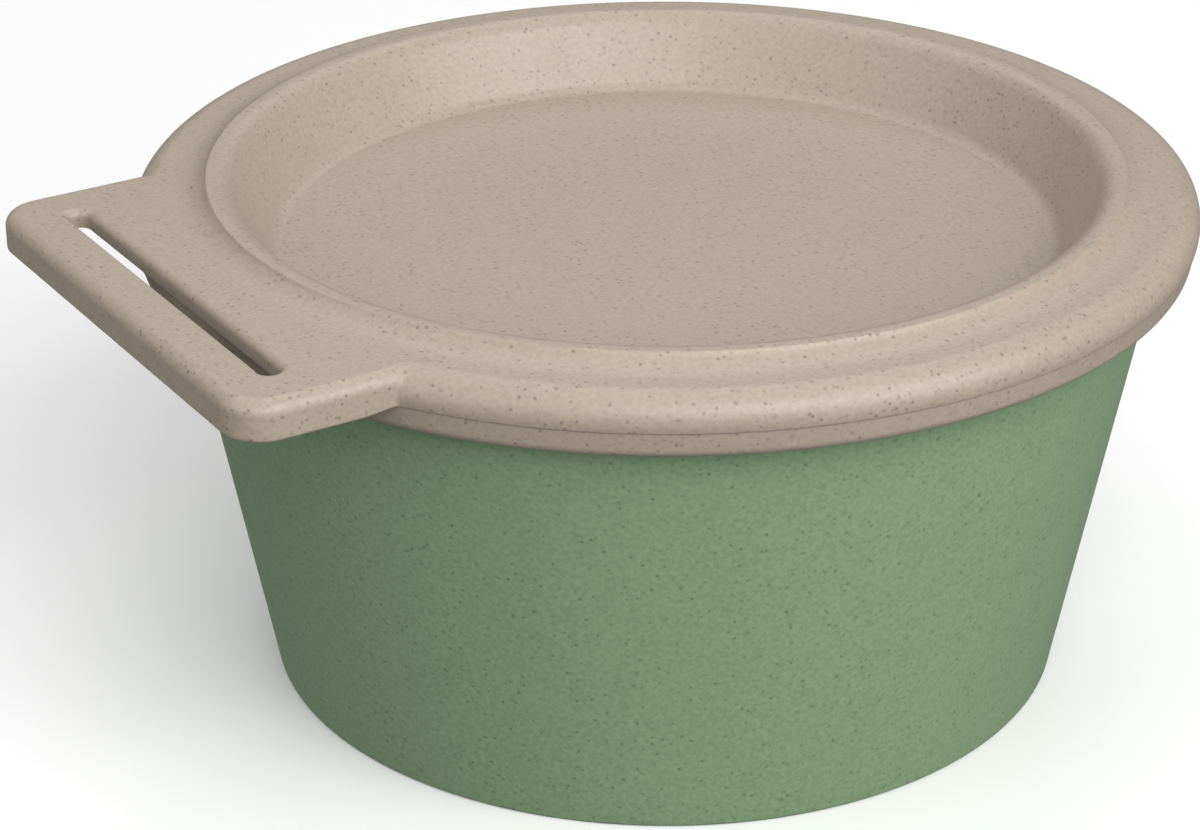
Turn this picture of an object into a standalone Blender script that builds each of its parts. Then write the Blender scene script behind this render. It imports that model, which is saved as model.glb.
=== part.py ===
"""Go stone bowl: a tapered moulded bowl with a lift-off lid.

The lid is one moulding: a shallow dish inside a raised ring, a rounded rim with a short skirt that
drops over the bowl's collar, and a flat slotted handle on one side. Lengths below are millimetres.
The origin is the centre of the bowl's underside, +Z is up and the handle points along -X.
"""

import math

import bmesh
import bpy

MM = 0.001
SEGMENTS = 64
CUTTER_MARGIN = 1.0
SEATING_GAP = 0.35
PLASTIC_ROUGHNESS = 0.45

# Bowl
BASE_RADIUS = 57.7
BASE_EDGE_RADIUS = 0.6
WALL_SLOPE = 0.1866
WALL = 2.4
FLOOR_TOP = 2.6
FLOOR_FILLET = 8.0
COLLAR_BOTTOM = 63.85
COLLAR_TOP = 69.95
FOOT_RING_INNER = 50.0
FOOT_PAD_RADIUS = 12.0
FOOT_RECESS = 0.8
FOOT_DRAFT = 0.8

# Lid: rim, skirt and locating rib
RIM_RADIUS = 75.0
RIM_BEAD = 4.5
RIM_CENTRE_Z = 68.05
BEAD_LOWER_EDGE = 67.75
SKIRT_TOP_RADIUS = 74.6
SKIRT_CREASE = 0.2
SKIRT_BOTTOM_RADIUS = 73.4
SKIRT_BOTTOM = COLLAR_BOTTOM
SKIRT_EDGE_RADIUS = 0.8
SKIRT_EDGE_START_DEG = 20.0
SKIRT_INNER_RADIUS = 70.2
RIM_UNDERSIDE = COLLAR_TOP + SEATING_GAP
RIB_OUTER = 66.7
RIB_INNER = 64.7
RIB_BOTTOM = 66.45

# Lid: dish, raised ring round it and the step down from the ring to the rim
DISH_FLOOR = 63.85
DISH_RADIUS = 55.3
DISH_SLOPE_DEG = 58.0
DISH_FILLET = 2.5
LID_WALL = 2.2
RING_TOP = 74.25
RING_SHOULDER = 3.2
RING_OUTER = 64.6
STEP_BEND_RADIUS = 65.5
STEP_FOOT_RADIUS = 69.3

# Handle
HANDLE_REACH = 85.8
HANDLE_HALF_WIDTH = 38.7
HANDLE_CORNER = 5.7
HANDLE_TOP = 72.5
HANDLE_BOTTOM = 67.2
HANDLE_EDGE_RADIUS = 1.9
HANDLE_WALL = 2.5
HANDLE_ROOT = 60.0
HANDLE_TRIM_RADIUS = 70.95
SLOT_CENTRE = 77.15
SLOT_HALF_LENGTH = 30.6
SLOT_WIDTH = 3.4

BOWL_GREEN = (0.205, 0.320, 0.170, 1.0)
LID_BEIGE = (0.350, 0.295, 0.225, 1.0)


def clear_scene():
    for obj in list(bpy.data.objects):
        bpy.data.objects.remove(obj, do_unlink=True)


def plastic(name, colour):
    material = bpy.data.materials.new(name)
    material.use_nodes = True
    shader = material.node_tree.nodes["Principled BSDF"]
    shader.inputs["Base Color"].default_value = colour
    shader.inputs["Roughness"].default_value = PLASTIC_ROUGHNESS
    shader.inputs["Metallic"].default_value = 0.0
    return material


def link(name, mesh):
    obj = bpy.data.objects.new(name, mesh)
    bpy.context.scene.collection.objects.link(obj)
    return obj


def arc(centre_a, centre_b, radius, start_deg, end_deg, steps):
    """Points on an arc, ends included, with angles measured from the first axis to the second."""
    points = []
    for step in range(steps + 1):
        angle = math.radians(start_deg + (end_deg - start_deg) * step / steps)
        points.append((centre_a + radius * math.cos(angle), centre_b + radius * math.sin(angle)))
    return points


def turned(name, profile):
    """Turn a half section about Z. It starts and ends on the axis and runs down its outer side."""
    mesh = bpy.data.meshes.new(name)
    points = [(radius * MM, 0.0, height * MM) for radius, height in profile]
    edges = [(index, index + 1) for index in range(len(points) - 1)]
    mesh.from_pydata(points, edges, [])
    obj = link(name, mesh)
    screw = obj.modifiers.new("Turn", "SCREW")
    screw.axis = "Z"
    screw.angle = 2.0 * math.pi
    screw.steps = SEGMENTS
    screw.render_steps = SEGMENTS
    screw.use_merge_vertices = True
    screw.merge_threshold = 0.00001
    screw.use_smooth_shade = True
    return obj


def lofted(name, loops):
    """A closed solid through loops of points that all have the same count, lowest loop first."""
    form = bmesh.new()
    rings = [[form.verts.new((x * MM, y * MM, z * MM)) for x, y, z in loop] for loop in loops]
    for lower, upper in zip(rings, rings[1:]):
        for index in range(len(lower)):
            following = (index + 1) % len(lower)
            form.faces.new((lower[index], lower[following], upper[following], upper[index]))
    form.faces.new(rings[0][::-1])
    form.faces.new(rings[-1])
    bmesh.ops.recalc_face_normals(form, faces=form.faces)
    mesh = bpy.data.meshes.new(name)
    form.to_mesh(mesh)
    form.free()
    return link(name, mesh)


def guide(obj):
    obj.hide_render = True
    obj.display_type = "WIRE"
    return obj


def boolean(obj, other, operation):
    modifier = obj.modifiers.new(operation.title(), "BOOLEAN")
    modifier.operation = operation
    modifier.solver = "EXACT"
    modifier.object = other


def wall_radius(height):
    """Outer radius of the bowl's tapered side."""
    return BASE_RADIUS + WALL_SLOPE * height


def bowl_profile():
    taper = math.atan(WALL_SLOPE)
    taper_deg = math.degrees(taper)
    inner_offset = WALL / math.cos(taper)
    fillet_z = FLOOR_TOP + FLOOR_FILLET
    fillet_radius = wall_radius(fillet_z) - inner_offset - FLOOR_FILLET / math.cos(taper)
    collar_outer = wall_radius(COLLAR_BOTTOM)
    lip = WALL / 2.0
    base_edge_centre = wall_radius(BASE_EDGE_RADIUS) - BASE_EDGE_RADIUS / math.cos(taper)
    inside = [(0.0, FLOOR_TOP)]
    inside += arc(fillet_radius, fillet_z, FLOOR_FILLET, -90.0, -taper_deg, 5)
    inside.append((collar_outer - WALL, COLLAR_BOTTOM))
    rim = arc(collar_outer - lip, COLLAR_TOP - lip, lip, 180.0, 0.0, 4)
    outside = [(collar_outer, COLLAR_BOTTOM)]
    outside += arc(base_edge_centre, BASE_EDGE_RADIUS, BASE_EDGE_RADIUS, -taper_deg, -90.0, 3)
    foot = [
        (FOOT_RING_INNER, 0.0),
        (FOOT_RING_INNER - FOOT_DRAFT, FOOT_RECESS),
        (FOOT_PAD_RADIUS + FOOT_DRAFT, FOOT_RECESS),
        (FOOT_PAD_RADIUS, 0.0),
        (0.0, 0.0),
    ]
    return inside + rim + outside + foot


def dish_wall(height):
    """Radius of the dish's sloping side at a height."""
    return DISH_RADIUS + (height - DISH_FLOOR) / math.tan(math.radians(DISH_SLOPE_DEG))


def dish_underside(height):
    """Radius of the sloping side's underside, one wall thickness outside it."""
    return dish_wall(height) + LID_WALL / math.sin(math.radians(DISH_SLOPE_DEG))


def rolled_corner(corner_radius, corner_z, radius, slope_deg, steps, convex):
    """Arc that rounds the corner between a level line and the dish's rising side."""
    reach = radius * math.tan(math.radians(slope_deg) / 2.0)
    if convex:
        return arc(corner_radius + reach, corner_z - radius, radius, 90.0 + slope_deg, 90.0, steps)
    return arc(corner_radius - reach, corner_z + radius, radius, -90.0, slope_deg - 90.0, steps)


def step_and_bead(steps):
    """From the raised ring's outer edge, down a hollow step and over the rim's rounded edge."""
    crest_radius = RIM_RADIUS - RIM_BEAD
    crest_z = RIM_CENTRE_Z + RIM_BEAD
    points = []
    for step in range(1, steps + 1):
        share = step / steps
        start, bend, end = (1.0 - share) ** 2, 2.0 * share * (1.0 - share), share ** 2
        radius = start * RING_OUTER + bend * STEP_BEND_RADIUS + end * STEP_FOOT_RADIUS
        height = start * RING_TOP + (bend + end) * crest_z
        points.append((radius, height))
    lower_deg = math.degrees(math.asin((BEAD_LOWER_EDGE - RIM_CENTRE_Z) / RIM_BEAD))
    points += arc(crest_radius, RIM_CENTRE_Z, RIM_BEAD, 90.0, 0.0, 6)
    points += arc(crest_radius, RIM_CENTRE_Z, RIM_BEAD, 0.0, lower_deg, 1)[1:]
    return points


def lid_profile():
    dish_corner = (dish_wall(DISH_FLOOR), DISH_FLOOR)
    ring_corner = (dish_wall(RING_TOP), RING_TOP)
    floor_bottom = DISH_FLOOR - LID_WALL
    ring_bottom = RING_TOP - LID_WALL
    dish = [(0.0, DISH_FLOOR)]
    dish += rolled_corner(*dish_corner, DISH_FILLET, DISH_SLOPE_DEG, 3, convex=False)
    dish += rolled_corner(*ring_corner, RING_SHOULDER, DISH_SLOPE_DEG, 3, convex=True)
    ring_and_rim = [(RING_OUTER, RING_TOP)] + step_and_bead(4)
    skirt = [(SKIRT_TOP_RADIUS, BEAD_LOWER_EDGE - SKIRT_CREASE)]
    skirt += arc(
        SKIRT_BOTTOM_RADIUS - SKIRT_EDGE_RADIUS, SKIRT_BOTTOM + SKIRT_EDGE_RADIUS, SKIRT_EDGE_RADIUS,
        SKIRT_EDGE_START_DEG, -90.0, 3)
    underside = [
        (SKIRT_INNER_RADIUS, SKIRT_BOTTOM),
        (SKIRT_INNER_RADIUS, RIM_UNDERSIDE),
        (RIB_OUTER, RIM_UNDERSIDE),
        (RIB_OUTER, RIB_BOTTOM),
        (RIB_INNER, RIB_BOTTOM),
        (RIB_INNER, ring_bottom),
        (dish_underside(ring_bottom), ring_bottom),
        (dish_underside(floor_bottom), floor_bottom),
        (0.0, floor_bottom),
    ]
    return dish + ring_and_rim + skirt + underside


def handle_outline(inset, corner_steps=6):
    """The handle seen from above: parallel sides, rounded outer corners, root inside the rim."""
    corner = HANDLE_CORNER - inset
    centre_x = -(HANDLE_REACH - HANDLE_CORNER)
    centre_y = HANDLE_HALF_WIDTH - HANDLE_CORNER
    outline = [(-HANDLE_ROOT, HANDLE_HALF_WIDTH - inset)]
    outline += arc(centre_x, centre_y, corner, 90.0, 180.0, corner_steps)
    outline += arc(centre_x, -centre_y, corner, 180.0, 270.0, corner_steps)
    outline.append((-HANDLE_ROOT, -(HANDLE_HALF_WIDTH - inset)))
    return outline


def at_height(outline, height):
    return [(x, y, height) for x, y in outline]


def handle_loops():
    """Loops up the handle's side and round its upper edge to the flat top."""
    loops = [at_height(handle_outline(0.0), HANDLE_BOTTOM)]
    for inwards, height in arc(0.0, HANDLE_TOP - HANDLE_EDGE_RADIUS, HANDLE_EDGE_RADIUS, 0.0, 90.0, 3):
        loops.append(at_height(handle_outline(HANDLE_EDGE_RADIUS - inwards), height))
    return loops


def handle_plate():
    """The handle: a thin plate with a rounded, turned-down edge, open underneath."""
    plate = guide(lofted("handle_form", handle_loops()))
    hollow = handle_outline(HANDLE_WALL)
    pocket = guide(lofted("pocket_form", [
        at_height(hollow, HANDLE_BOTTOM - CUTTER_MARGIN),
        at_height(hollow, HANDLE_TOP - HANDLE_WALL),
    ]))
    boolean(plate, pocket, "DIFFERENCE")

    circle = arc(0.0, 0.0, HANDLE_TRIM_RADIUS, 0.0, 360.0, SEGMENTS)[:-1]
    trim = guide(lofted("trim_form", [
        at_height(circle, HANDLE_BOTTOM - CUTTER_MARGIN),
        at_height(circle, HANDLE_TOP + CUTTER_MARGIN),
    ]))
    boolean(plate, trim, "DIFFERENCE")
    return plate


def slot_cutter():
    end_radius = SLOT_WIDTH / 2.0
    end_centre = SLOT_HALF_LENGTH - end_radius
    outline = arc(-SLOT_CENTRE, end_centre, end_radius, 0.0, 180.0, 6)
    outline += arc(-SLOT_CENTRE, -end_centre, end_radius, 180.0, 360.0, 6)
    return guide(lofted("slot_form", [
        at_height(outline, HANDLE_BOTTOM - CUTTER_MARGIN),
        at_height(outline, HANDLE_TOP + CUTTER_MARGIN),
    ]))


def make_bowl():
    bowl = turned("bowl", bowl_profile())
    bowl.data.materials.append(plastic("bowl_plastic", BOWL_GREEN))
    return bowl


def make_lid():
    lid = turned("lid", lid_profile())
    lid.data.materials.append(plastic("lid_plastic", LID_BEIGE))
    boolean(lid, handle_plate(), "UNION")
    boolean(lid, slot_cutter(), "DIFFERENCE")
    return lid


clear_scene()
make_bowl()
make_lid()
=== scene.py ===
"""Looks of the go stone bowl: a flecked green moulded bowl with a flecked beige moulded lid."""

import math

import bpy
import numpy as np
from mathutils import Matrix, Vector


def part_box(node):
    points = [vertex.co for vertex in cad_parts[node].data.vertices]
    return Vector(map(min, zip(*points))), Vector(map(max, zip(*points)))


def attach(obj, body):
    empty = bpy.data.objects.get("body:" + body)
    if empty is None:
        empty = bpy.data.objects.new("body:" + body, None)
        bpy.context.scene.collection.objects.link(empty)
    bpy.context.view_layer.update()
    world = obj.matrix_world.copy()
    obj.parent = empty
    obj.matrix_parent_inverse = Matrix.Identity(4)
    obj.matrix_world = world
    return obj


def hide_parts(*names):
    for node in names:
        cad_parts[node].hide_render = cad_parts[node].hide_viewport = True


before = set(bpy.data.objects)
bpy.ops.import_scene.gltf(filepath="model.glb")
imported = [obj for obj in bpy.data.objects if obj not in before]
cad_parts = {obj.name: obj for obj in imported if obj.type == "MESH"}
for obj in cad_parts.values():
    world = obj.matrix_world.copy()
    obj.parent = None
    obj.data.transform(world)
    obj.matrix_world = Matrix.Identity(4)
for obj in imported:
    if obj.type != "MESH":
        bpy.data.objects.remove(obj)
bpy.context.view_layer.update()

MM = 0.001

# ---------------------------------------------------------------- sizes, in millimetres
# The outer sizes come from the CAD frame. The rest repeat the part's own, except that the rim's bead
# and the skirt below it are slightly fuller here.
bowl_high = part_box("bowl")[1] / MM
lid_low, lid_high = (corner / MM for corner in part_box("lid"))

RIM_RADIUS = lid_high.x
HANDLE_REACH = -lid_low.x
COLLAR_RADIUS = bowl_high.x
COLLAR_TOP = bowl_high.z
LID_UNDERSIDE = lid_low.z

# Bowl
WALL_SLOPE = 0.1866
WALL = 2.4
FLOOR_TOP = 2.6
FLOOR_FILLET = 8.0
COLLAR_BOTTOM = 63.85
BASE_EDGE_RADIUS = 0.6
COLLAR_BLEND = 3.0
FOOT_RING_INNER = 50.0
FOOT_PAD_RADIUS = 12.0
FOOT_RECESS = 0.8
FOOT_EDGE_RADIUS = 0.35
BOWL_SEGMENTS = 288

# Lid
BEAD_RADIUS = 3.7
BEAD_CENTRE_Z = 68.85
BEAD_LOWER_EDGE = 67.75
RIM_EDGE_ROLL = 0.15
SKIRT_TOP_RADIUS = 74.6
SKIRT_TOP_Z = 67.5
SKIRT_BOTTOM_RADIUS = 74.1
SKIRT_EDGE_RADIUS = 1.7
SKIRT_INNER_RADIUS = 70.2
CREASE_STEP = 0.02
CREASE_DROP = 0.05
SEATING_GAP = 0.35
RIM_UNDERSIDE = COLLAR_TOP + SEATING_GAP
RIB_OUTER = 66.7
RIB_INNER = 64.7
RIB_BOTTOM = 66.45
UNDERSIDE_EDGE_RADIUS = 0.4
UNDERSIDE_FILLET = 2.0
LID_WALL = 2.2
DISH_FLOOR = LID_UNDERSIDE + LID_WALL
DISH_RADIUS = 55.3
DISH_SLOPE_DEG = 58.0
DISH_FILLET = 2.5
RING_TOP = lid_high.z
RING_SHOULDER = 3.2
RING_OUTER = 64.6
RING_EDGE_RADIUS = 0.25
STEP_BEND_RADIUS = 65.5
STEP_FOOT_RADIUS = 69.3
CREST_RADIUS = RIM_RADIUS - BEAD_RADIUS
CREST_Z = BEAD_CENTRE_Z + BEAD_RADIUS

# Distance between points along the lid's outline
OUTLINE_STEP = 1.1

# Handle
HANDLE_HALF_WIDTH = 38.7
HANDLE_CORNER = 5.7
HANDLE_TOP = 72.5
HANDLE_BOTTOM = 67.2
HANDLE_EDGE_RADIUS = 1.9
HANDLE_WALL = 2.5
POCKET_FILLET = 0.8
POCKET_ROOT_GAP = 0.2
ROOT_FILLET = 0.5
ROOT_BLEND = 0.9
SLOT_CENTRE = 77.15
SLOT_HALF_LENGTH = 30.6
SLOT_WIDTH = 3.4
SLOT_INNER_ROLL = 1.1
SLOT_OUTER_ROLL = 0.25
HANDLE_EDGE_ROLL = 0.4
CUT_CLEARANCE = 1.0


# ---------------------------------------------------------------- mesh helpers
def arc(centre_a, centre_b, radius, start_deg, end_deg, steps):
    """Points on an arc, ends included, with angles from the first axis to the second."""
    angles = np.radians(np.linspace(start_deg, end_deg, steps + 1))
    return [(centre_a + radius * math.cos(a), centre_b + radius * math.sin(a)) for a in angles]


def straight(start, end, steps):
    """Points from start to end, without start."""
    return [tuple(np.add(start, np.subtract(end, start) * k / steps)) for k in range(1, steps + 1)]


def fillet(corner, before, after, radius, steps):
    """Arc that rounds the corner of the half section before-corner-after."""
    corner = np.array(corner, float)
    to_before = np.array(before, float) - corner
    to_after = np.array(after, float) - corner
    to_before /= np.linalg.norm(to_before)
    to_after /= np.linalg.norm(to_after)
    half = math.acos(float(np.clip(to_before @ to_after, -1.0, 1.0))) / 2.0
    middle = to_before + to_after
    middle /= np.linalg.norm(middle)
    centre = corner + middle * radius / math.sin(half)
    start = corner + to_before * radius / math.tan(half) - centre
    end = corner + to_after * radius / math.tan(half) - centre
    turn = math.atan2(start[0] * end[1] - start[1] * end[0], float(start @ end))
    points = []
    for step in range(steps + 1):
        a = turn * step / steps
        rotated = (start[0] * math.cos(a) - start[1] * math.sin(a),
                   start[0] * math.sin(a) + start[1] * math.cos(a))
        points.append((centre[0] + rotated[0], centre[1] + rotated[1]))
    return points


def rounded_path(corners, radii, steps=5, longest=3.0):
    """A half section through corners, each rounded by its radius, with long runs subdivided."""
    points = [tuple(corners[0])]
    for index in range(1, len(corners)):
        if index < len(corners) - 1 and radii[index] > 0.0:
            turn = fillet(corners[index], corners[index - 1], corners[index + 1], radii[index], steps)
        else:
            turn = [tuple(corners[index])]
        gap = math.dist(points[-1], turn[0])
        points += straight(points[-1], turn[0], max(1, math.ceil(gap / longest)))
        points += turn[1:]
    return points


def skin(name, first_pole, rings, last_pole):
    """A closed mesh through rings of equal length. Rings run outwards over the top, then under."""
    count = len(rings[0])
    vertices = np.vstack([[first_pole], *rings, [last_pole]]) * MM
    index = np.arange(count)
    following = (index + 1) % count
    faces = [(0, 1 + a, 1 + b) for a, b in zip(index.tolist(), following.tolist())]
    for level in range(len(rings) - 1):
        here = 1 + level * count
        there = here + count
        quads = np.stack([here + index, there + index, there + following, here + following], axis=1)
        faces += quads.tolist()
    last = len(vertices) - 1
    start = 1 + (len(rings) - 1) * count
    faces += [(last, start + b, start + a) for a, b in zip(index.tolist(), following.tolist())]
    mesh = bpy.data.meshes.new(name)
    mesh.from_pydata(vertices.tolist(), [], faces)
    mesh.shade_smooth()
    piece = bpy.data.objects.new(name, mesh)
    bpy.context.scene.collection.objects.link(piece)
    return piece


def circle_ring(angles, radius, height):
    """Points at the given angles round the bowl's axis."""
    heights = np.full(len(angles), height)
    return np.stack([radius * np.cos(angles), radius * np.sin(angles), heights], axis=1)


# ---------------------------------------------------------------- bowl
def wall_radius(height):
    """Outer radius of the tapered wall."""
    base_radius = COLLAR_RADIUS - WALL_SLOPE * COLLAR_BOTTOM
    return base_radius + WALL_SLOPE * height


def bowl_section():
    """From the middle of the floor up the inside, over the lip and down to the middle underneath."""
    taper = math.atan(WALL_SLOPE)
    offset = WALL / math.cos(taper)
    lip = WALL / 2.0
    corners = [
        (0.0, FLOOR_TOP),
        (wall_radius(FLOOR_TOP) - offset, FLOOR_TOP),
        (COLLAR_RADIUS - WALL, COLLAR_BOTTOM),
        (COLLAR_RADIUS - WALL, COLLAR_TOP - lip),
    ]
    inside = rounded_path(corners, [0.0, FLOOR_FILLET, COLLAR_BLEND, 0.0], steps=10)
    rim = arc(COLLAR_RADIUS - lip, COLLAR_TOP - lip, lip, 180.0, 0.0, 12)[1:]
    corners = [
        (COLLAR_RADIUS, COLLAR_TOP - lip),
        (COLLAR_RADIUS, COLLAR_BOTTOM),
        (wall_radius(0.0), 0.0),
        (FOOT_RING_INNER, 0.0),
        (FOOT_RING_INNER - FOOT_RECESS, FOOT_RECESS),
        (FOOT_PAD_RADIUS + FOOT_RECESS, FOOT_RECESS),
        (FOOT_PAD_RADIUS, 0.0),
        (0.0, 0.0),
    ]
    edge = FOOT_EDGE_RADIUS
    radii = [0.0, COLLAR_BLEND, BASE_EDGE_RADIUS, edge, edge, edge, edge, 0.0]
    outside = rounded_path(corners, radii, steps=6)[1:]
    return inside + rim + outside


def make_bowl():
    angles = np.linspace(0.0, 2.0 * math.pi, BOWL_SEGMENTS, endpoint=False)
    section = bowl_section()
    rings = [circle_ring(angles, radius, height) for radius, height in section[1:-1]]
    return skin("bowl_shell", (0.0, 0.0, section[0][1]), rings, (0.0, 0.0, section[-1][1]))


# ---------------------------------------------------------------- lid
def lid_outline(step):
    """Points and outward normals round the lid and its handle, counter-clockwise from +X."""
    fillet_steps, corner_steps = 8, 14
    fillet_y = HANDLE_HALF_WIDTH + ROOT_FILLET
    fillet_x = -math.sqrt((RIM_RADIUS + ROOT_FILLET) ** 2 - fillet_y ** 2)
    root = math.asin(fillet_y / (RIM_RADIUS + ROOT_FILLET))
    corner_x = -(HANDLE_REACH - HANDLE_CORNER)
    corner_y = HANDLE_HALF_WIDTH - HANDLE_CORNER
    points = []
    normals = []

    def add(x, y, normal_x, normal_y):
        points.append((x, y))
        normals.append((normal_x, normal_y))

    rim_steps = round((math.pi - root) * RIM_RADIUS / step)
    for angle in np.linspace(0.0, math.pi - root, rim_steps, endpoint=False):
        add(RIM_RADIUS * math.cos(angle), RIM_RADIUS * math.sin(angle), math.cos(angle), math.sin(angle))
    for angle in np.linspace(-root, -math.pi / 2.0, fillet_steps, endpoint=False):
        add(fillet_x + ROOT_FILLET * math.cos(angle), fillet_y + ROOT_FILLET * math.sin(angle),
            -math.cos(angle), -math.sin(angle))
    for x in np.linspace(fillet_x, corner_x, round((fillet_x - corner_x) / step), endpoint=False):
        add(x, HANDLE_HALF_WIDTH, 0.0, 1.0)
    for angle in np.linspace(math.pi / 2.0, math.pi, corner_steps, endpoint=False):
        add(corner_x + HANDLE_CORNER * math.cos(angle), corner_y + HANDLE_CORNER * math.sin(angle),
            math.cos(angle), math.sin(angle))
    edge_steps = round(corner_y / step)
    for y in np.linspace(corner_y, 0.0, edge_steps + 1):
        add(-HANDLE_REACH, y, -1.0, 0.0)
    half = len(points) - 1
    for index in range(half - 1, 0, -1):
        add(points[index][0], -points[index][1], normals[index][0], -normals[index][1])
    return np.array(points), np.array(normals)


def smoothstep(value, low, high):
    share = np.clip((value - low) / (high - low), 0.0, 1.0)
    return share * share * (3.0 - 2.0 * share)


def bead_distance(p):
    """Distance from the rim's rounded edge: a flat slab inside its crest, a round bead outside."""
    outwards = np.maximum(np.hypot(p[..., 0], p[..., 1]) - CREST_RADIUS, 0.0)
    return np.hypot(outwards, p[..., 2] - BEAD_CENTRE_Z) - BEAD_RADIUS


def handle_distance(p):
    """Distance from the handle: a slab with rounded corners and a rounded upper edge."""
    half_length = HANDLE_REACH / 2.0
    across = np.abs(p[..., 0] + half_length) - half_length + HANDLE_CORNER
    along = np.abs(p[..., 1]) - HANDLE_HALF_WIDTH + HANDLE_CORNER
    corner = np.hypot(np.maximum(across, 0.0), np.maximum(along, 0.0))
    side = corner + np.minimum(np.maximum(across, along), 0.0) - HANDLE_CORNER
    radius = np.hypot(p[..., 0], p[..., 1])
    top = CREST_Z + (HANDLE_TOP - CREST_Z) * smoothstep(radius, CREST_RADIUS, RIM_RADIUS)
    sideways = side + HANDLE_EDGE_RADIUS
    upwards = p[..., 2] - top + HANDLE_EDGE_RADIUS
    outside = np.hypot(np.maximum(sideways, 0.0), np.maximum(upwards, 0.0))
    return np.minimum(np.maximum(sideways, upwards), 0.0) + outside - HANDLE_EDGE_RADIUS


def gradient(distance, p):
    """Slope of a distance function, from central differences."""
    step = 0.01
    parts = []
    for axis in range(3):
        shift = np.zeros(3)
        shift[axis] = step
        parts.append((distance(p + shift) - distance(p - shift)) / (2.0 * step))
    return np.stack(parts, axis=-1)


def lid_distance(p):
    """Union of rim and handle, with a small fillet where their surfaces meet at an angle."""
    bead = bead_distance(p)
    handle = handle_distance(p)
    alignment = np.sum(gradient(bead_distance, p) * gradient(handle_distance, p), axis=-1)
    blend = np.maximum(ROOT_BLEND * (1.0 - np.clip(alignment, 0.0, 1.0)), 0.001)
    share = np.clip(0.5 + 0.5 * (handle - bead) / blend, 0.0, 1.0)
    return handle + (bead - handle) * share - blend * share * (1.0 - share)


def settle(p, level, rounds=4):
    """Moves points onto the lid's outer surface. Where level is set they keep their height."""
    least_steepness = 0.04
    for _ in range(rounds):
        slope = gradient(lid_distance, p)
        slope[..., 2] *= np.where(level, 0.0, 1.0)
        steepness = np.maximum(np.sum(slope * slope, axis=-1), least_steepness)
        p = p - slope * (lid_distance(p) / steepness)[..., None]
    return p


def outer_skin(outline, normals, angles):
    """Rings from the rim's crest outwards over the edge of rim and handle to the lower edge."""
    across_steps, roll_steps, side_steps = 14, 16, 7
    roll_start_deg, roll_end_deg = 80.0, 12.0
    handle_starts, handle_is_full = RIM_RADIUS + 0.1, RIM_RADIUS + 4.0
    evening_rounds = 12
    reach = np.hypot(outline[:, 0], outline[:, 1])
    on_handle = smoothstep(reach, handle_starts, handle_is_full)
    roll_radius = BEAD_RADIUS + (HANDLE_EDGE_RADIUS - BEAD_RADIUS) * on_handle
    roll_top = CREST_Z + (HANDLE_TOP - CREST_Z) * on_handle
    edge_roll = RIM_EDGE_ROLL + (HANDLE_EDGE_ROLL - RIM_EDGE_ROLL) * on_handle
    lower = BEAD_LOWER_EDGE + (HANDLE_BOTTOM - BEAD_LOWER_EDGE) * on_handle + edge_roll
    crest = circle_ring(angles, CREST_RADIUS, CREST_Z)

    def edge_ring(angle_deg):
        angle = math.radians(angle_deg)
        inset = roll_radius * (1.0 - math.cos(angle))
        plan = outline - normals * inset[:, None]
        height = roll_top - roll_radius * (1.0 - math.sin(angle))
        return np.column_stack([plan, height])

    shoulder = edge_ring(roll_start_deg)
    rings = [crest + (shoulder - crest) * share for share in np.linspace(0.0, 1.0, across_steps + 1)]
    rings += [edge_ring(angle) for angle in np.linspace(roll_start_deg, roll_end_deg, roll_steps + 1)[1:]]
    last_roll = rings[-1]
    for share in np.linspace(0.0, 1.0, side_steps + 1)[1:]:
        ring = np.column_stack([outline, last_roll[:, 2] + (lower - last_roll[:, 2]) * share])
        rings.append(ring)
    grid = np.array(rings)
    level = np.zeros(grid.shape[:2], bool)
    level[-side_steps:] = True
    grid[1:] = settle(grid[1:], level[1:])
    for _ in range(evening_rounds):
        neighbours = (np.roll(grid, 1, axis=1) + np.roll(grid, -1, axis=1))[1:-1]
        neighbours = (neighbours + grid[:-2] + grid[2:]) / 4.0
        height = grid[1:-1, :, 2].copy()
        moved = grid[1:-1] + 0.5 * (neighbours - grid[1:-1])
        moved[..., 2] = np.where(level[1:-1], height, moved[..., 2])
        grid[1:-1] = settle(moved, level[1:-1], rounds=1)
    grid[1:] = settle(grid[1:], level[1:])
    rings = list(grid)
    last = rings[-1]
    for angle_deg in (30.0, 60.0, 90.0):
        angle = math.radians(angle_deg)
        plan = last[:, :2] - normals * (edge_roll * (1.0 - math.cos(angle)))[:, None]
        rings.append(np.column_stack([plan, last[:, 2] - edge_roll * math.sin(angle)]))
    return rings


def dish_wall(height):
    """Radius of the dish's sloping side."""
    return DISH_RADIUS + (height - DISH_FLOOR) / math.tan(math.radians(DISH_SLOPE_DEG))


def dish_underside(height):
    """Radius of the same side on the underside."""
    return dish_wall(height) + LID_WALL / math.sin(math.radians(DISH_SLOPE_DEG))


def hollow_step(steps):
    """The hollow curve from the ring's outer edge down to the rim."""
    points = []
    for share in np.linspace(0.0, 1.0, steps + 1):
        start, bend, end = (1.0 - share) ** 2, 2.0 * share * (1.0 - share), share ** 2
        radius = start * RING_OUTER + bend * STEP_BEND_RADIUS + end * STEP_FOOT_RADIUS
        points.append((float(radius), float(start * RING_TOP + (bend + end) * CREST_Z)))
    return points


def lid_top_section():
    """From the dish's centre out to the rim's crest."""
    step = hollow_step(14)
    corners = [(0.0, DISH_FLOOR), (dish_wall(DISH_FLOOR), DISH_FLOOR), (dish_wall(RING_TOP), RING_TOP),
               step[0], step[1]]
    radii = [0.0, DISH_FILLET, RING_SHOULDER, RING_EDGE_RADIUS, 0.0]
    section = rounded_path(corners, radii, steps=9) + step[2:]
    section += straight(section[-1], (CREST_RADIUS, CREST_Z), 2)
    return section


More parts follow.
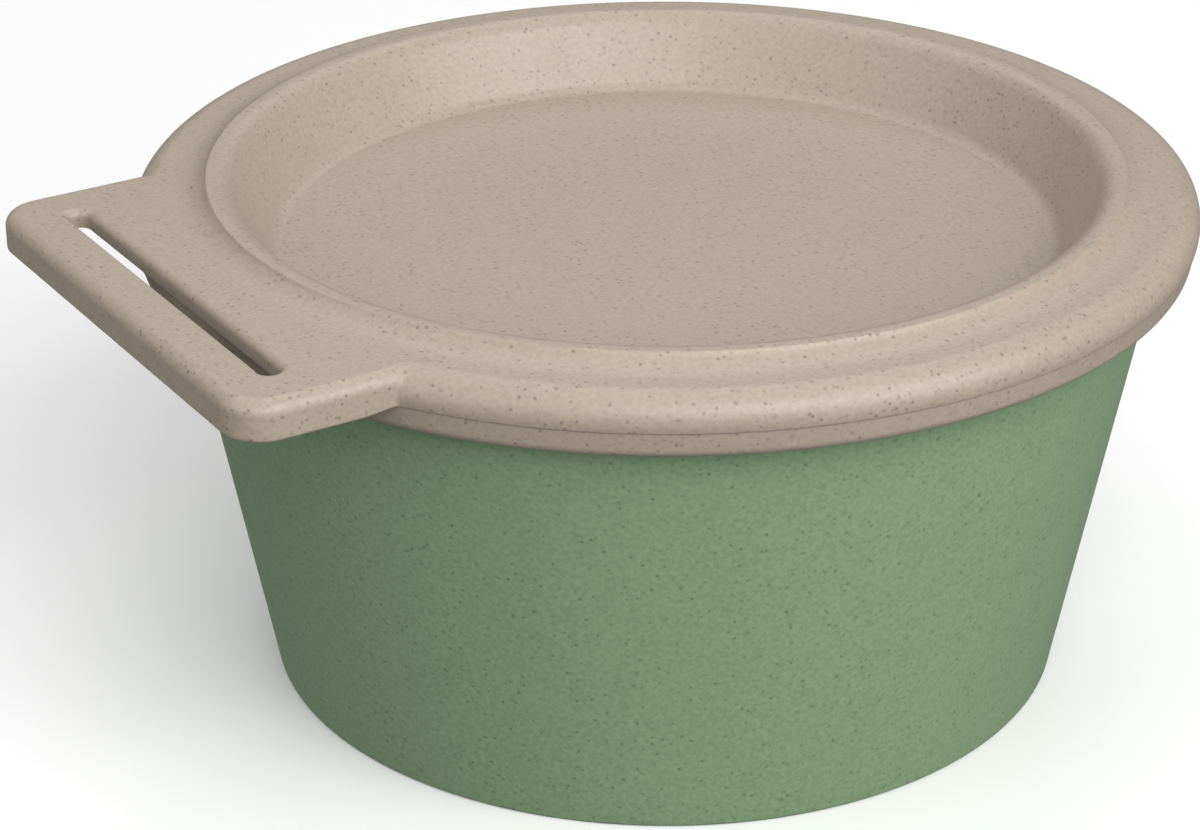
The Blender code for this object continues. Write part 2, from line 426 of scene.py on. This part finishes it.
def lid_under_section():
    """From the skirt's top, down the skirt and back along the underside to the centre."""
    ring_bottom = RING_TOP - LID_WALL
    corners = [
        (SKIRT_TOP_RADIUS, SKIRT_TOP_Z),
        (SKIRT_BOTTOM_RADIUS, COLLAR_BOTTOM),
        (SKIRT_INNER_RADIUS, COLLAR_BOTTOM),
        (SKIRT_INNER_RADIUS, RIM_UNDERSIDE),
        (RIB_OUTER, RIM_UNDERSIDE),
        (RIB_OUTER, RIB_BOTTOM),
        (RIB_INNER, RIB_BOTTOM),
        (RIB_INNER, ring_bottom),
        (dish_underside(ring_bottom), ring_bottom),
        (dish_underside(LID_UNDERSIDE), LID_UNDERSIDE),
        (0.0, LID_UNDERSIDE),
    ]
    radii = [0.0, SKIRT_EDGE_RADIUS] + [UNDERSIDE_EDGE_RADIUS] * 7 + [UNDERSIDE_FILLET, 0.0]
    return rounded_path(corners, radii, steps=5)


def make_lid():
    outline, normals = lid_outline(OUTLINE_STEP)
    angles = np.arctan2(outline[:, 1], outline[:, 0])
    top = lid_top_section()
    rings = [circle_ring(angles, radius, height) for radius, height in top[1:-1]]
    rings += outer_skin(outline, normals, angles)
    rings.append(circle_ring(angles, SKIRT_TOP_RADIUS + CREASE_STEP, BEAD_LOWER_EDGE - CREASE_DROP))
    under = lid_under_section()
    rings += [circle_ring(angles, radius, height) for radius, height in under[:-1]]
    return skin("lid_shell", (0.0, 0.0, DISH_FLOOR), rings, (0.0, 0.0, LID_UNDERSIDE))


def bake(piece):
    """Replaces the piece's mesh by its mesh with the modifiers applied."""
    bpy.context.view_layer.update()
    evaluated = piece.evaluated_get(bpy.context.evaluated_depsgraph_get())
    mesh = bpy.data.meshes.new_from_object(evaluated)
    piece.modifiers.clear()
    old = piece.data
    piece.data = mesh
    bpy.data.meshes.remove(old)


def cut(piece, cutter):
    """Takes the cutter out of the piece and removes the cutter."""
    modifier = piece.modifiers.new("Cut", "BOOLEAN")
    modifier.operation = "DIFFERENCE"
    modifier.solver = "EXACT"
    modifier.object = cutter
    bake(piece)
    bpy.data.objects.remove(cutter, do_unlink=True)


def weigh_normals(piece):
    """Lets large flat faces decide the shading, so the cuts leave no streaks beside them."""
    piece.data.set_sharp_from_angle(angle=math.radians(50.0))
    modifier = piece.modifiers.new("Normals", "WEIGHTED_NORMAL")
    modifier.mode = "FACE_AREA"
    modifier.weight = 50
    modifier.keep_sharp = True
    bake(piece)


def capped(name, loops):
    """A closed cutter through loops of equal length, from the lowest to the highest."""
    count = len(loops[0])
    index = np.arange(count)
    following = (index + 1) % count
    faces = [index[::-1].tolist(), (index + (len(loops) - 1) * count).tolist()]
    for level in range(len(loops) - 1):
        here = level * count
        there = here + count
        quads = np.stack([here + index, here + following, there + following, there + index], axis=1)
        faces += quads.tolist()
    mesh = bpy.data.meshes.new(name)
    mesh.from_pydata((np.vstack(loops) * MM).tolist(), [], faces)
    cutter = bpy.data.objects.new(name, mesh)
    bpy.context.scene.collection.objects.link(cutter)
    return cutter


def slot_cutter():
    """Slot with a well rounded edge on the bowl's side and at both ends, nearly sharp outside."""
    half = SLOT_WIDTH / 2.0
    end = SLOT_HALF_LENGTH - half
    end_steps = 24
    opening_above, height_above = 0.1, 0.4

    def loop(opening, angle_deg):
        angle = math.radians(angle_deg)
        plan = arc(0.0, end, half, 0.0, 180.0, end_steps)
        plan += arc(0.0, -end, half, 180.0, 360.0, end_steps)
        moved = []
        for x, y in plan:
            out_x, out_y = x, y - math.copysign(end, y)
            towards_bowl = 0.5 + 0.5 * out_x / half
            at_end = abs(out_y) / half
            roll = SLOT_OUTER_ROLL + (SLOT_INNER_ROLL - SLOT_OUTER_ROLL) * max(towards_bowl, at_end)
            drop = roll * (1.0 - math.sin(angle))
            flare = roll * (1.0 - math.cos(angle))
            moved.append((x + out_x / half * (flare + opening) - SLOT_CENTRE,
                          y + out_y / half * (flare + opening), HANDLE_TOP - drop))
        return np.array(moved)

    lowest = loop(0.0, 0.0)
    lowest[:, 2] = HANDLE_BOTTOM
    highest = loop(opening_above, 90.0)
    highest[:, 2] = HANDLE_TOP + height_above
    rolled = [loop(0.0, angle) for angle in range(0, 91, 10)]
    return capped("slot_cutter", [lowest, *rolled, highest])


def pocket_cutter():
    """Hollow under the handle: follows its edge inside and the rim's wall at the root."""
    inner = RIM_RADIUS + POCKET_ROOT_GAP
    roll = POCKET_FILLET
    root_steps, corner_steps = 48, 10

    def loop(inset, height):
        side = HANDLE_HALF_WIDTH - inset
        corner = HANDLE_CORNER - inset
        corner_x = -(HANDLE_REACH - HANDLE_CORNER)
        corner_y = HANDLE_HALF_WIDTH - HANDLE_CORNER
        root = math.degrees(math.asin(side / inner))
        plan = arc(0.0, 0.0, inner, 180.0 + root, 180.0 - root, root_steps)
        plan += arc(corner_x, corner_y, corner, 90.0, 180.0, corner_steps)
        plan += arc(corner_x, -corner_y, corner, 180.0, 270.0, corner_steps)
        return np.array([(x, y, height) for x, y in plan])

    top = HANDLE_TOP - HANDLE_WALL
    loops = [loop(HANDLE_WALL, HANDLE_BOTTOM - CUT_CLEARANCE), loop(HANDLE_WALL, top - roll)]
    for sideways, height in arc(0.0, top - roll, roll, 0.0, 80.0, 6)[1:]:
        loops.append(loop(HANDLE_WALL + roll - sideways, height))
    return capped("pocket_cutter", loops)


# ---------------------------------------------------------------- materials
# Texture scales are repeats per metre, the bump's height is in metres.
GRAIN_SCALE = 1500.0
MOTTLE_SCALE = 160.0
MOTTLE_STRENGTH = 0.15
SPECK_SCALE = 900.0
SPECK_PRESENCE = (0.15, 0.9)
SPECK_EDGE = (0.12, 0.3)
FIBRE_SCALE = 1000.0
FIBRE_STRETCH = (1.0, 0.35, 1.0)
FIBRE_PRESENCE = (0.4, 0.95)
FIBRE_EDGE = (0.1, 0.25)
FIBRE_STRENGTH = 0.8
CELL_TURN = (0.4, 0.7, 0.3)
ROUGHNESS_RANGE = (0.38, 0.46)
BUMP_STRENGTH = 0.05
BUMP_HEIGHT = 0.0002

# The Mix node lists its sockets for every data type. These are the colour ones.
MIX_COLOUR_A = 6
MIX_COLOUR_B = 7
MIX_COLOUR_RESULT = 2


def tone(colour, factor):
    return (colour[0] * factor, colour[1] * factor, colour[2] * factor, 1.0)


def flecked_plastic(name, base, fleck, fleck_strength, grain_strength):
    """Moulded plastic with a fine lighter and darker grain and scattered dark flecks."""
    material = bpy.data.materials.new(name)
    material.use_nodes = True
    nodes = material.node_tree.nodes
    links = material.node_tree.links
    shader = nodes["Principled BSDF"]
    shader.inputs["Specular IOR Level"].default_value = 0.5
    place = nodes.new("ShaderNodeTexCoord").outputs["Object"]

    def noise(scale, detail):
        texture = nodes.new("ShaderNodeTexNoise")
        texture.inputs["Scale"].default_value = scale
        texture.inputs["Detail"].default_value = detail
        links.new(place, texture.inputs["Vector"])
        return texture.outputs["Fac"]

    def voronoi(scale, stretch):
        mapping = nodes.new("ShaderNodeMapping")
        mapping.inputs["Scale"].default_value = stretch
        mapping.inputs["Rotation"].default_value = CELL_TURN
        links.new(place, mapping.inputs["Vector"])
        texture = nodes.new("ShaderNodeTexVoronoi")
        texture.inputs["Scale"].default_value = scale
        links.new(mapping.outputs["Vector"], texture.inputs["Vector"])
        return texture

    def ramp(value, low, high, from_value, to_value):
        node = nodes.new("ShaderNodeMapRange")
        node.interpolation_type = "SMOOTHSTEP"
        node.inputs["From Min"].default_value = low
        node.inputs["From Max"].default_value = high
        node.inputs["To Min"].default_value = from_value
        node.inputs["To Max"].default_value = to_value
        links.new(value, node.inputs["Value"])
        return node.outputs["Result"]

    def multiply(a, b):
        node = nodes.new("ShaderNodeMath")
        node.operation = "MULTIPLY"
        links.new(a, node.inputs[0])
        links.new(b, node.inputs[1])
        return node.outputs["Value"]

    def mix(amount, colour_a, colour_b):
        node = nodes.new("ShaderNodeMix")
        node.data_type = "RGBA"
        links.new(amount, node.inputs["Factor"])
        for index, colour in ((MIX_COLOUR_A, colour_a), (MIX_COLOUR_B, colour_b)):
            if isinstance(colour, tuple):
                node.inputs[index].default_value = colour
            else:
                links.new(colour, node.inputs[index])
        return node.outputs[MIX_COLOUR_RESULT]

    grain = noise(GRAIN_SCALE, 1.0)
    dark = tone(base, 1.0 - grain_strength)
    pale = tone(base, 1.0 + grain_strength)
    colour = mix(ramp(grain, 0.3, 0.7, 0.0, 1.0), dark, pale)
    mottle = noise(MOTTLE_SCALE, 4.0)
    colour = mix(ramp(mottle, 0.35, 0.75, 0.0, MOTTLE_STRENGTH), colour, pale)

    specks = voronoi(SPECK_SCALE, (1.0, 1.0, 1.0))
    present = ramp(specks.outputs["Color"], *SPECK_PRESENCE, 0.0, 1.0)
    dots = ramp(specks.outputs["Distance"], *SPECK_EDGE, fleck_strength, 0.0)
    colour = mix(multiply(dots, present), colour, fleck)

    fibres = voronoi(FIBRE_SCALE, FIBRE_STRETCH)
    present = ramp(fibres.outputs["Color"], *FIBRE_PRESENCE, 0.0, 1.0)
    strands = ramp(fibres.outputs["Distance"], *FIBRE_EDGE, fleck_strength * FIBRE_STRENGTH, 0.0)
    colour = mix(multiply(strands, present), colour, fleck)
    links.new(colour, shader.inputs["Base Color"])

    bump = nodes.new("ShaderNodeBump")
    bump.inputs["Strength"].default_value = BUMP_STRENGTH
    bump.inputs["Distance"].default_value = BUMP_HEIGHT
    links.new(grain, bump.inputs["Height"])
    links.new(bump.outputs["Normal"], shader.inputs["Normal"])
    links.new(ramp(mottle, 0.3, 0.7, *ROUGHNESS_RANGE), shader.inputs["Roughness"])
    return material


def wear(piece, material):
    """Gives the piece this material alone."""
    piece.data.materials.clear()
    piece.data.materials.append(material)


# ---------------------------------------------------------------- studio
# Angles in degrees. The distance is in rim radii, from the bowl's axis at the datum height.
CAMERA_AZIMUTH = -32.6
CAMERA_DISTANCE = 6.587
CAMERA_ELEVATION = 22.41
CAMERA_PITCH = 25.96
CAMERA_YAW = -1.21
CAMERA_ROLL = -0.298
CAMERA_LENS = 104.23
CAMERA_DATUM = 68.05
CAMERA_ASIDE = 0.25

# Floor and lamps, in metres.
FLOOR_HALF_SIZE = 3.0
FLOOR_LEVEL = -0.00002
FLOOR_GREY = 0.93
WORLD_STRENGTH = 0.2
SOFTBOX_DISTANCE = 1.2
SOFTBOX_TARGET = 0.05


def make_camera():
    camera = bpy.data.cameras.new("camera")
    camera.lens = CAMERA_LENS
    camera.sensor_width = 36.0
    camera.clip_start = 0.01
    camera.clip_end = 10.0
    obj = bpy.data.objects.new("camera", camera)
    bpy.context.scene.collection.objects.link(obj)
    distance = CAMERA_DISTANCE * RIM_RADIUS * MM
    elevation = math.radians(CAMERA_ELEVATION)
    turn = Matrix.Rotation(math.radians(CAMERA_AZIMUTH), 4, "Z")
    place = Vector((CAMERA_ASIDE * MM, -distance * math.cos(elevation), distance * math.sin(elevation)))
    place = turn @ place + Vector((0.0, 0.0, CAMERA_DATUM * MM))
    look = Matrix.Rotation(math.radians(-CAMERA_YAW), 4, "Z")
    tilt = Matrix.Rotation(math.radians(90.0 - CAMERA_PITCH), 4, "X")
    roll = Matrix.Rotation(math.radians(CAMERA_ROLL), 4, "Z")
    obj.matrix_world = Matrix.Translation(place) @ turn @ look @ tilt @ roll
    bpy.context.scene.camera = obj


def softbox(name, azimuth, elevation, width, height, power):
    """A softbox aimed at the bowl. Azimuth is measured from the camera, to the right."""
    light = bpy.data.lights.new(name, "AREA")
    light.shape = "RECTANGLE"
    light.size = width
    light.size_y = height
    light.energy = power
    obj = bpy.data.objects.new(name, light)
    bpy.context.scene.collection.objects.link(obj)
    around = math.radians(azimuth + CAMERA_AZIMUTH)
    up = math.radians(elevation)
    direction = Vector((math.sin(around) * math.cos(up), -math.cos(around) * math.cos(up), math.sin(up)))
    target = Vector((0.0, 0.0, SOFTBOX_TARGET))
    obj.location = target + direction * SOFTBOX_DISTANCE
    obj.rotation_euler = direction.to_track_quat("Z", "Y").to_euler()


def make_floor():
    """White paper that the camera sees. It throws no light back, as in dim surroundings."""
    floor_mesh = bpy.data.meshes.new("floor")
    half = FLOOR_HALF_SIZE
    level = FLOOR_LEVEL
    corners = [(-half, -half, level), (half, -half, level), (half, half, level), (-half, half, level)]
    floor_mesh.from_pydata(corners, [], [(0, 1, 2, 3)])
    floor = bpy.data.objects.new("floor", floor_mesh)
    bpy.context.scene.collection.objects.link(floor)
    material = bpy.data.materials.new("floor_paper")
    material.use_nodes = True
    shader = material.node_tree.nodes["Principled BSDF"]
    shader.inputs["Base Color"].default_value = (FLOOR_GREY, FLOOR_GREY, FLOOR_GREY, 1.0)
    shader.inputs["Roughness"].default_value = 0.9
    floor_mesh.materials.append(material)
    floor.visible_diffuse = False
    floor.visible_glossy = False


def make_lighting():
    """A large key on the right, weak fills all round, and a faint even world."""
    world = bpy.data.worlds.new("studio_world")
    bpy.context.scene.world = world
    world.use_nodes = True
    background = world.node_tree.nodes["Background"]
    background.inputs["Color"].default_value = (1.0, 1.0, 1.0, 1.0)
    background.inputs["Strength"].default_value = WORLD_STRENGTH

    softbox("key", 33.0, 36.0, 1.7, 0.9, 20.0)
    softbox("right_low", 50.0, 8.0, 0.8, 0.5, 2.6)
    softbox("left_front", -58.0, 20.0, 0.8, 0.8, 3.1)
    softbox("left_side", -100.0, 50.0, 0.8, 0.8, 1.8)
    softbox("back", 180.0, 50.0, 0.8, 0.8, 3.2)
    softbox("top", 0.0, 88.0, 0.8, 0.8, 2.4)
    bpy.context.scene.view_settings.view_transform = "Standard"


# ---------------------------------------------------------------- assembly
GREEN = (0.204, 0.316, 0.171, 1.0)
GREEN_FLECK = (0.056, 0.093, 0.051, 1.0)
BEIGE = (0.350, 0.295, 0.229, 1.0)
BEIGE_FLECK = (0.150, 0.125, 0.092, 1.0)

make_camera()
make_floor()
make_lighting()

bowl = make_bowl()
wear(bowl, flecked_plastic("bowl_plastic", GREEN, GREEN_FLECK, 0.55, 0.08))
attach(bowl, "bowl")
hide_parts("bowl")

lid = make_lid()
cut(lid, pocket_cutter())
cut(lid, slot_cutter())
weigh_normals(lid)
wear(lid, flecked_plastic("lid_plastic", BEIGE, BEIGE_FLECK, 0.7, 0.06))
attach(lid, "lid")
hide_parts("lid")
